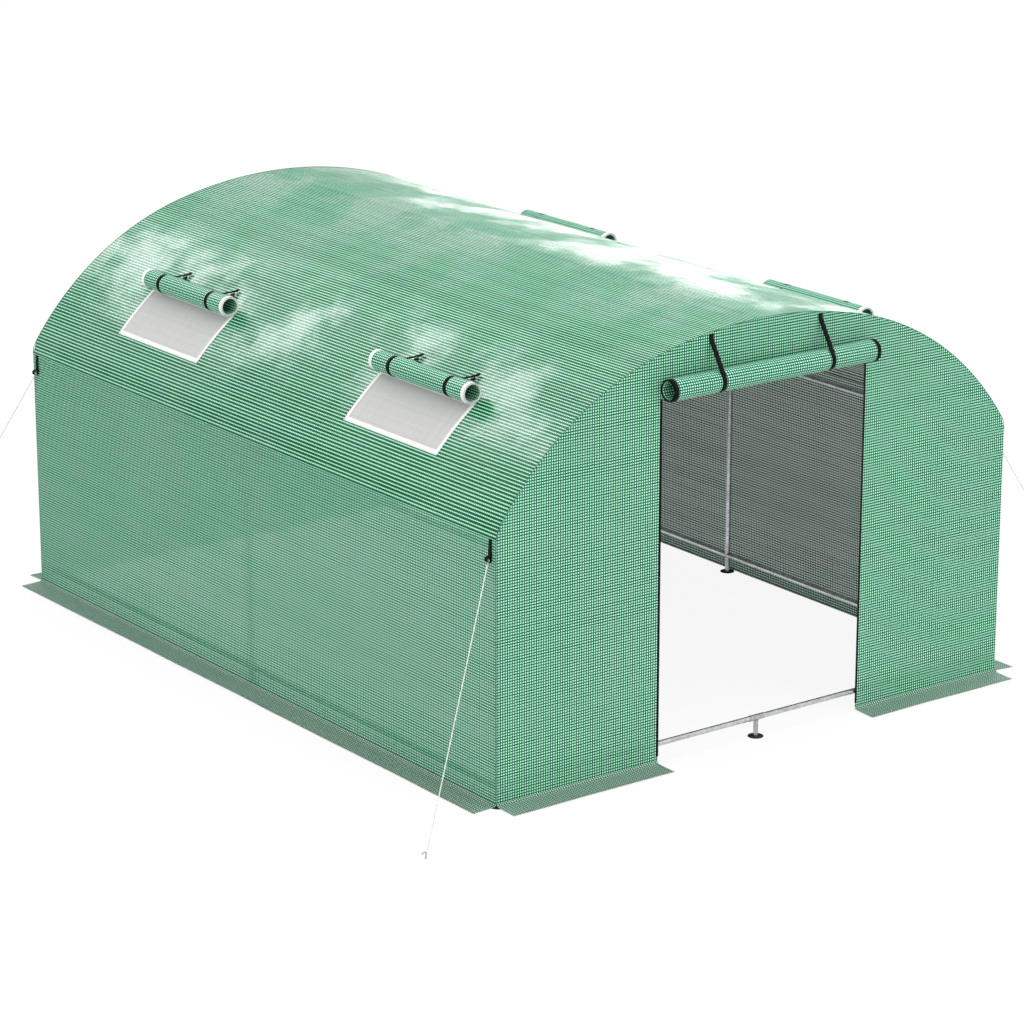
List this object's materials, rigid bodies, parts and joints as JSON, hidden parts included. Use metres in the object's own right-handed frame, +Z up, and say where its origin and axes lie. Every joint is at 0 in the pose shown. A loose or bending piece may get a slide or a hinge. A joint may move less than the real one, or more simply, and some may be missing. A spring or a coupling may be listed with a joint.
{
  "type": "polytunnel greenhouse",
  "caption": "Walk-in polytunnel greenhouse: hooped tube frame under a green reinforced cover, with a rolled-up door, mesh roof windows, ground skirts and guy ropes.",
  "frame": {"origin": "middle of the footprint, on the ground", "axes": "+X across the tunnel, +Y along it from the door end to the rear, +Z up"},
  "size_m": [4.218, 4.5982, 2],
  "materials": {
    "galvanised_tube": "satin zinc",
    "galvanised_fitting": "satin zinc",
    "foot_rubber": "matte",
    "green_cover": "translucent woven-reinforced film",
    "window_mesh": "fine insect mesh with pale binding",
    "black_webbing": "woven",
    "black_zip": "matte",
    "pale_rope": "twisted",
    "peg_steel": "satin zinc"
  },
  "bodies": {
    "root": {"base_fittings": "galvanised_fitting", "door_roll": "green_cover", "door_straps": "black_webbing", "door_zips": "black_zip", "eave_fittings": "galvanised_fitting", "eave_straps": "black_webbing", "feet": "foot_rubber", "front_base_rail": "galvanised_tube", "front_gable_panel": "green_cover", "front_left_arch": "galvanised_tube", "front_left_panel": "green_cover", "front_right_arch": "galvanised_tube", "front_right_panel": "green_cover", "front_skirts": "green_cover", "guy_ropes": "pale_rope", "left_base_rail": "galvanised_tube", "left_eave_rail": "galvanised_tube", "left_posts": "galvanised_tube", "left_skirt": "green_cover", "left_wall": "green_cover", "left_window_meshes": "window_mesh", "left_window_rolls": "green_cover", "middle_left_arch": "galvanised_tube", "middle_right_arch": "galvanised_tube", "pegs": "peg_steel", "rear_base_rail": "galvanised_tube", "rear_left_arch": "galvanised_tube", "rear_right_arch": "galvanised_tube", "rear_skirt": "green_cover", "rear_wall": "green_cover", "ridge_fittings": "galvanised_fitting", "ridge_rail": "galvanised_tube", "right_base_rail": "galvanised_tube", "right_eave_rail": "galvanised_tube", "right_posts": "galvanised_tube", "right_skirt": "green_cover", "right_wall": "green_cover", "right_window_meshes": "window_mesh", "right_window_rolls": "green_cover", "roof_crown": "green_cover", "roof_left_slope": "green_cover", "roof_right_slope": "green_cover", "window_straps": "black_webbing"}
  },
  "joints": []
}
